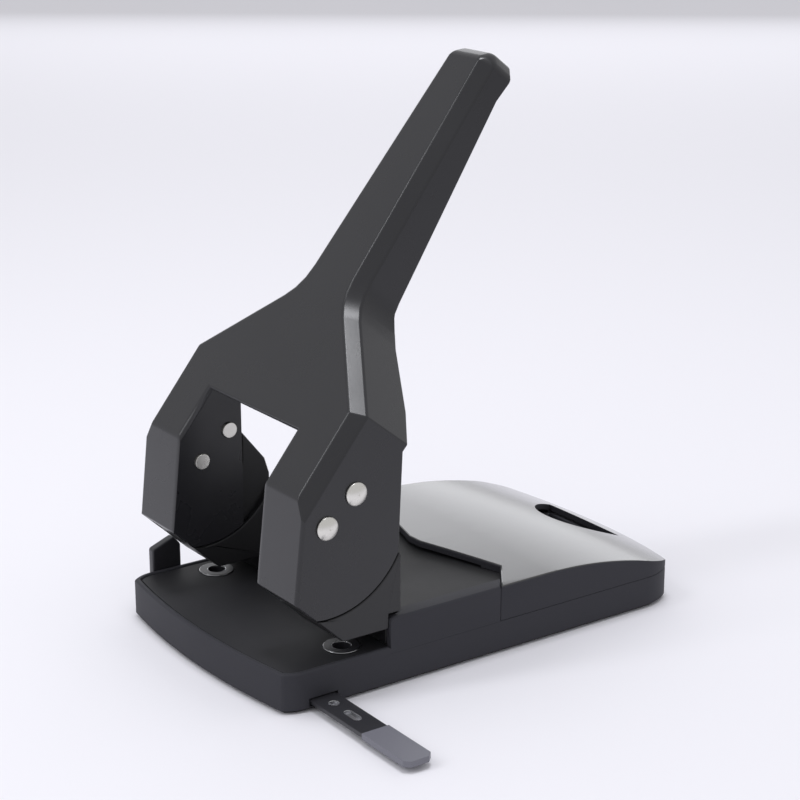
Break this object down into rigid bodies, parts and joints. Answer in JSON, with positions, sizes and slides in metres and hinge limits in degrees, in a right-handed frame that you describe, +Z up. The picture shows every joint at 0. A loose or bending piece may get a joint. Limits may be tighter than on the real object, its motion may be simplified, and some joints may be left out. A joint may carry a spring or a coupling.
{
  "type": "two-hole punch",
  "caption": "Desk paper punch with a forked lever on two fixed heads, spring-returned punches over steel dies, a sliding paper guide and a chip drawer under a crowned cover",
  "frame": {"origin": "midway between the two hole centres, on the face of the rubber pad that the punch stands on", "axes": "+X to the right of a person facing the paper mouth, +Y to the rear away from them, +Z up"},
  "size_m": [0.1588, 0.1757, 0.1956],
  "materials": {
    "lever_paint": "satin black paint",
    "head_paint": "satin black paint on cast heads",
    "table_paint": "smooth black paint",
    "deck_paint": "matt black paint",
    "shell_plastic": "black plastic with a fine grain",
    "cover_plastic": "gloss black plastic",
    "bright_pin": "bright nickel plate",
    "tool_steel": "ground tool steel",
    "zinc_steel": "zinc plated steel",
    "bush_bronze": "oiled bronze",
    "soft_rubber": "matt black rubber",
    "guide_steel": "blackened steel strip",
    "tab_plastic": "grey plastic",
    "drawer_plastic": "dark grey plastic"
  },
  "bodies": {
    "base": {"base_shell": "shell_plastic", "base_pad": "soft_rubber", "table_plate": "table_paint", "left_die": "tool_steel", "right_die": "tool_steel", "left_head": "head_paint", "right_head": "head_paint", "head_screws": "zinc_steel", "left_pivot_bush": "bush_bronze", "right_pivot_bush": "bush_bronze", "left_stop_pad": "soft_rubber", "right_stop_pad": "soft_rubber", "deck_plate": "deck_paint", "left_rail": "shell_plastic", "right_rail": "shell_plastic", "rear_cover": "cover_plastic", "cover_screws": "zinc_steel", "guide_clip": "zinc_steel", "left_spring": "zinc_steel", "right_spring": "zinc_steel"},
    "lever": {"lever": "lever_paint", "left_pivot_pin": "bright_pin", "right_pivot_pin": "bright_pin", "left_drive_pin": "bright_pin", "right_drive_pin": "bright_pin"},
    "left_punch_body": {"left_punch": "tool_steel", "left_yoke": "zinc_steel"},
    "right_punch_body": {"right_punch": "tool_steel", "right_yoke": "zinc_steel"},
    "paper_guide": {"guide_bar": "guide_steel", "guide_stop": "guide_steel", "guide_tab": "tab_plastic", "guide_rivets": "zinc_steel"},
    "chip_drawer_body": {"chip_drawer": "drawer_plastic"}
  },
  "joints": [
    {"name": "lever_pivot", "type": "hinge", "parent": "base", "child": "lever", "pos_m": [0, -0.0121, 0.0606], "axis": [-1, 0, 0], "range_deg": [0, 46], "stiffness_Nm_per_rad": 0.6, "springref_deg": -34.38},
    {"name": "left_punch_slide", "type": "slide", "parent": "base", "child": "left_punch_body", "axis": [0, 0, -1], "range_m": [0, 0.0108], "deforming": ["left_spring"]},
    {"name": "right_punch_slide", "type": "slide", "parent": "base", "child": "right_punch_body", "axis": [0, 0, -1], "range_m": [0, 0.0108], "deforming": ["right_spring"]},
    {"name": "paper_guide_slide", "type": "slide", "parent": "base", "child": "paper_guide", "axis": [-1, 0, 0], "range_m": [0, 0.094]},
    {"name": "chip_drawer_slide", "type": "slide", "parent": "base", "child": "chip_drawer_body", "axis": [0, 1, 0], "range_m": [0, 0.095]}
  ],
  "couplings": [
    {"joint": "left_punch_slide", "follows": "lever_pivot", "m_per_rad": 0.0133},
    {"joint": "right_punch_slide", "follows": "lever_pivot", "m_per_rad": 0.0133}
  ]
}
